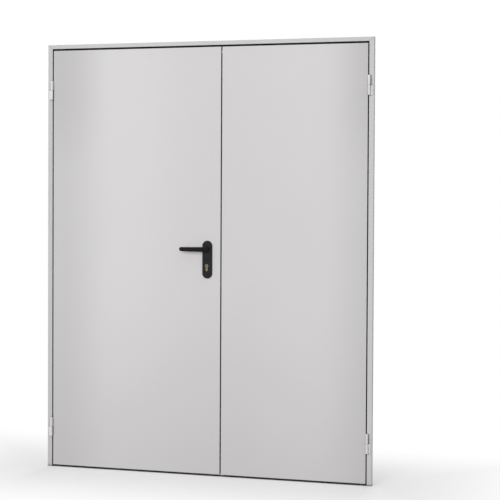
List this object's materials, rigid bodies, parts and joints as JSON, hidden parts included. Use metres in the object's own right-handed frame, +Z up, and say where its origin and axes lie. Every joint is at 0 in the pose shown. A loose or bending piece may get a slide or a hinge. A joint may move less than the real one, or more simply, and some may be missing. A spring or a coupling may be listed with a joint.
{
  "type": "double-leaf steel utility door",
  "caption": "Flush light-grey steel door with unequal leaves in a slim folded frame, with lift-off barrel hinges and a black lever handle over a profile cylinder.",
  "frame": {"origin": "lower left corner of the wall opening, seen from the front, on the wall's face and on the floor: the free edge of the left jamb's wall flange", "axes": "+Z up; +Y into the wall, so the front with the hinges faces -Y; +X to the right seen from the front"},
  "size_m": [1.63, 0.1634, 2.09],
  "materials": {
    "frame_paint": "satin light-grey powder coat",
    "leaf_paint": "satin light-grey powder coat",
    "hinge_paint": "light-grey paint over steel",
    "pin_steel": "bright steel",
    "gasket_rubber": "matt black",
    "lever_black": "black, fine matt grain",
    "plate_black": "black, fine matt grain",
    "cylinder_brass": "dulled satin brass",
    "lock_steel": "zinc-plated steel"
  },
  "bodies": {
    "frame": {"left_jamb": "frame_paint", "right_jamb": "frame_paint", "head": "frame_paint", "left_gasket": "gasket_rubber", "right_gasket": "gasket_rubber", "head_gasket": "gasket_rubber", "left_upper_hinge_frame_half": "hinge_paint", "left_lower_hinge_frame_half": "hinge_paint", "right_upper_hinge_frame_half": "hinge_paint", "right_lower_hinge_frame_half": "hinge_paint", "left_upper_hinge_pin": "pin_steel", "left_lower_hinge_pin": "pin_steel", "right_upper_hinge_pin": "pin_steel", "right_lower_hinge_pin": "pin_steel"},
    "left_leaf": {"left_leaf_front_sheet": "leaf_paint", "left_leaf_back_sheet": "leaf_paint", "left_upper_hinge_leaf_half": "hinge_paint", "left_lower_hinge_leaf_half": "hinge_paint", "lock_case": "lock_steel", "latch_bolt": "lock_steel", "dead_bolt": "lock_steel", "front_handle_plate": "plate_black", "back_handle_plate": "plate_black", "lock_cylinder": "cylinder_brass"},
    "lever": {"front_lever": "lever_black", "back_lever": "lever_black", "handle_spindle": "lock_steel"},
    "right_leaf": {"right_leaf_front_sheet": "leaf_paint", "right_leaf_back_sheet": "leaf_paint", "right_upper_hinge_leaf_half": "hinge_paint", "right_lower_hinge_leaf_half": "hinge_paint", "strike_plate": "lock_steel", "upper_flush_bolt": "lock_steel", "lower_flush_bolt": "lock_steel"}
  },
  "joints": [
    {"name": "left_leaf_hinge", "type": "hinge", "parent": "frame", "child": "left_leaf", "pos_m": [0.0075, -0.0325, 1], "axis": [0, 0, -1], "range_deg": [0, 170]},
    {"name": "right_leaf_hinge", "type": "hinge", "parent": "frame", "child": "right_leaf", "pos_m": [1.5925, -0.0325, 1], "axis": [0, 0, 1], "range_deg": [0, 170]},
    {"name": "lever_turn", "type": "hinge", "parent": "left_leaf", "child": "lever", "pos_m": [0.812, 0, 1.093], "axis": [0, -1, 0], "range_deg": [0, 40], "stiffness_Nm_per_rad": 1.5, "springref_deg": -22.92}
  ]
}
